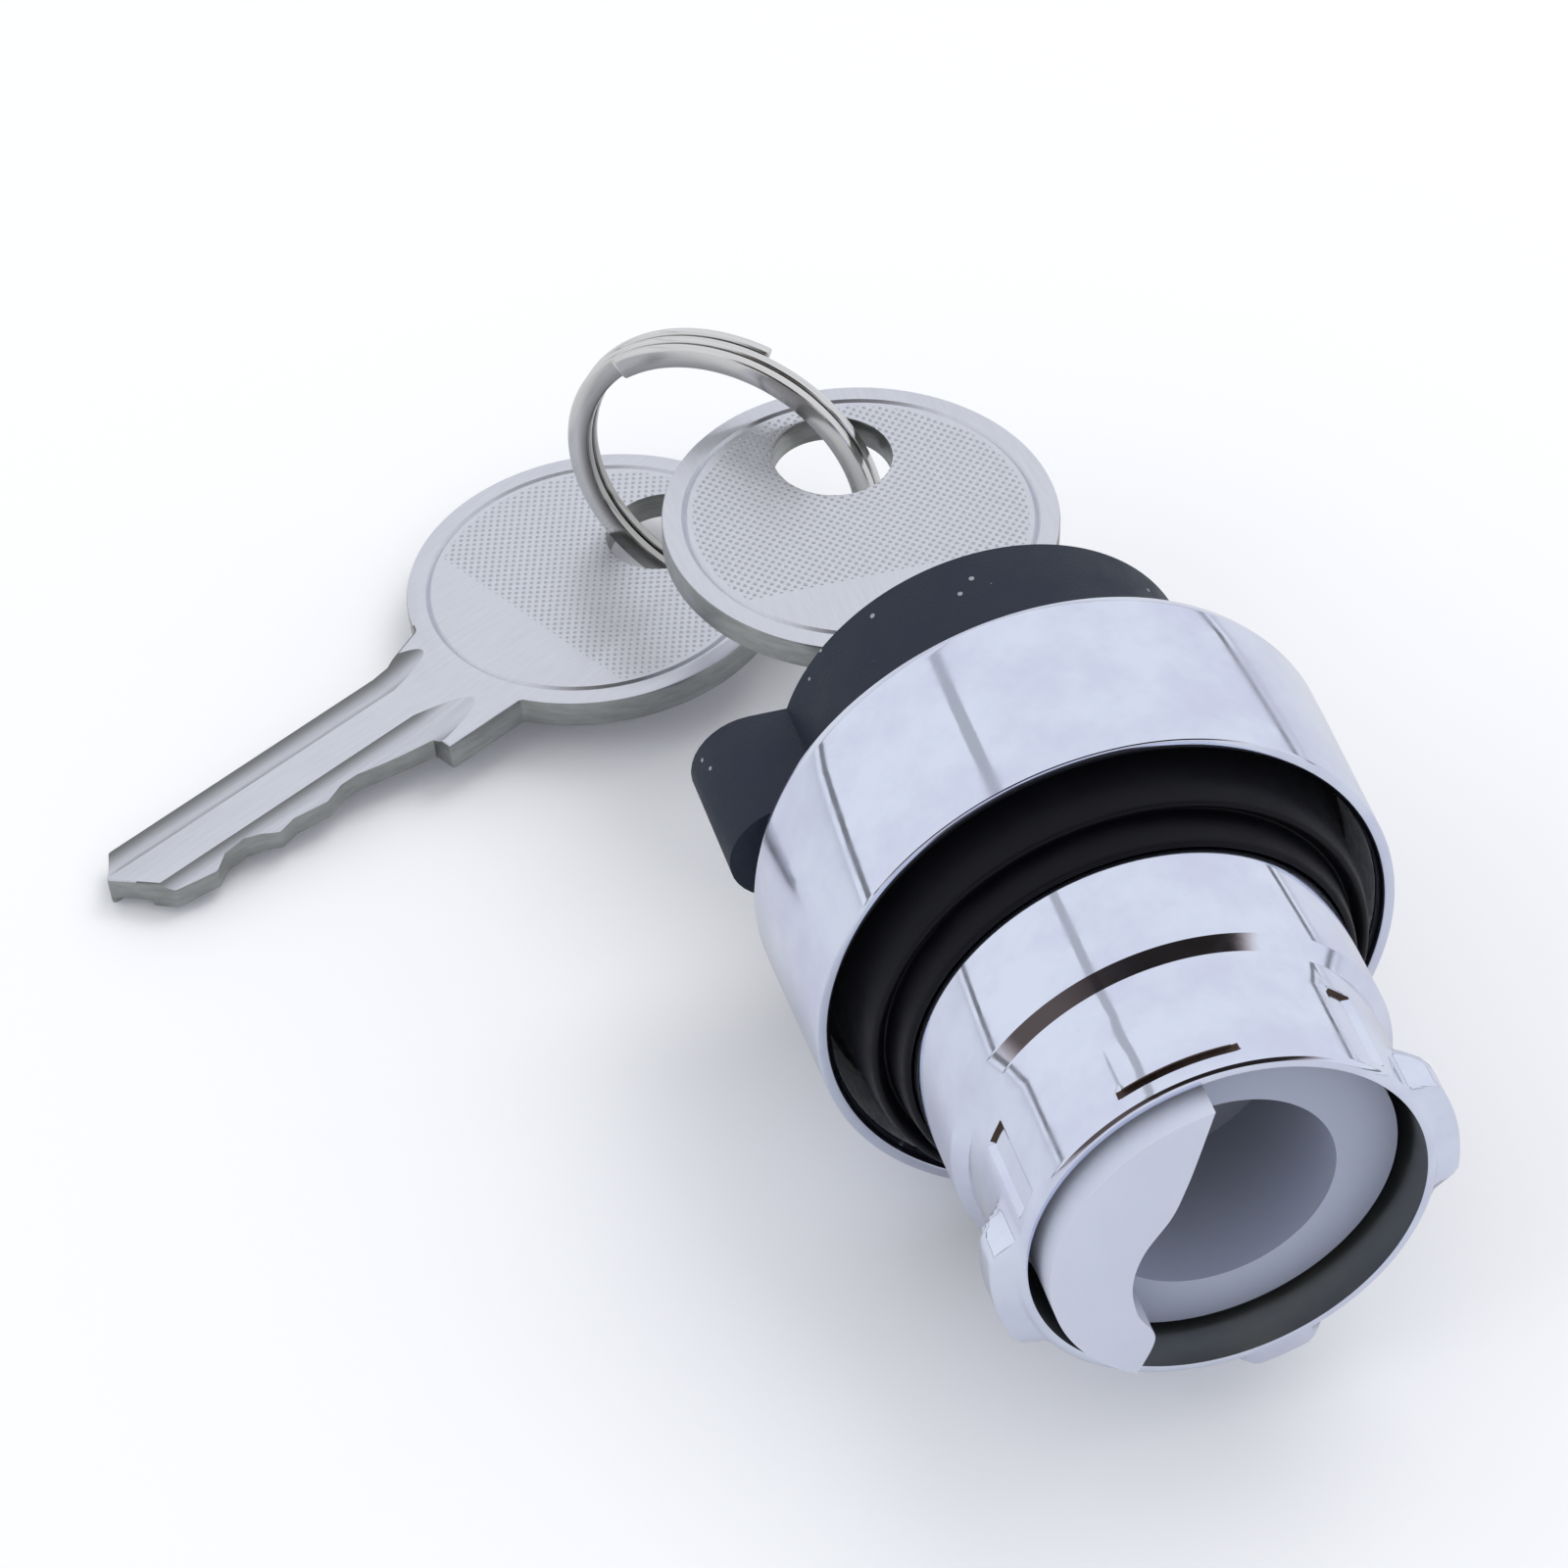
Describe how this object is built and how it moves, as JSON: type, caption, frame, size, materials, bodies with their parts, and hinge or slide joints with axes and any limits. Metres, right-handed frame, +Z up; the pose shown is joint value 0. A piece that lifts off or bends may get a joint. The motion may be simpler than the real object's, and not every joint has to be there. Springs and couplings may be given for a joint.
{
  "type": "selector key switch",
  "caption": "Panel-mounted rotary key switch head with a chromed bezel, pointer cap, bayonet sleeve, cam rotor, and keys on a split ring.",
  "frame": {"origin": "on the switch axis, in the plane of the bezel's rear rim, which the panel's front face meets", "axes": "+Y along the switch axis from the key side to the back of the panel, +Z up as the switch lies on a table, +X towards the pointer nub"},
  "size_m": [0.0564, 0.073, 0.029],
  "materials": {
    "chrome": "bright chrome plate on die-cast zinc",
    "cap_black": "fine-grained matt blue-black plastic",
    "rubber_black": "smooth near-black nitrile rubber",
    "nylon_white": "satin white nylon",
    "key_nickel": "dull nickel plate, stamped",
    "ring_steel": "nickel-plated flat spring wire",
    "lock_brass": "machined brass",
    "spring_steel": "plain spring steel",
    "mark_white": "white inlay"
  },
  "bodies": {
    "housing": {"bezel": "chrome", "body_sleeve": "chrome", "panel_gasket": "rubber_black", "lock_stator": "lock_brass", "thrust_washer": "spring_steel", "cap_seal": "rubber_black"},
    "rotor": {"cap_knob": "cap_black", "pointer_mark": "mark_white", "lock_face_plate": "chrome", "lock_plug": "lock_brass", "plug_clip": "spring_steel", "cam_rotor": "nylon_white", "rotor_screw": "spring_steel", "dust_shutter": "spring_steel", "shutter_spring": "spring_steel", "wafer_1": "lock_brass", "wafer_spring_1": "spring_steel", "wafer_2": "lock_brass", "wafer_spring_2": "spring_steel", "wafer_3": "lock_brass", "wafer_spring_3": "spring_steel", "wafer_4": "lock_brass", "wafer_spring_4": "spring_steel", "wafer_5": "lock_brass", "wafer_spring_5": "spring_steel", "detent_ball_1": "spring_steel", "detent_spring_1": "spring_steel", "detent_ball_2": "spring_steel", "detent_spring_2": "spring_steel"},
    "key": {"key_in_lock": "key_nickel"},
    "ring": {"split_ring": "ring_steel"},
    "spare": {"spare_key": "key_nickel"}
  },
  "joints": [
    {"name": "key_turn", "type": "hinge", "parent": "housing", "child": "rotor", "pos_m": [0, 0, 0], "axis": [0, -1, 0], "range_deg": [0, 90]},
    {"name": "key_withdraw", "type": "slide", "parent": "rotor", "child": "key", "axis": [0, -1, 0], "range_m": [0, 0.02]},
    {"name": "ring_swing", "type": "hinge", "parent": "key", "child": "ring", "pos_m": [0.0017, -0.0424, 0], "axis": [1, 0, 0], "range_deg": [-60, 20]},
    {"name": "spare_swing", "type": "hinge", "parent": "ring", "child": "spare", "pos_m": [0.00949, -0.04741, -0.0112], "axis": [-0.6191, 0.5101, -0.5971], "range_deg": [-35, 40]}
  ]
}
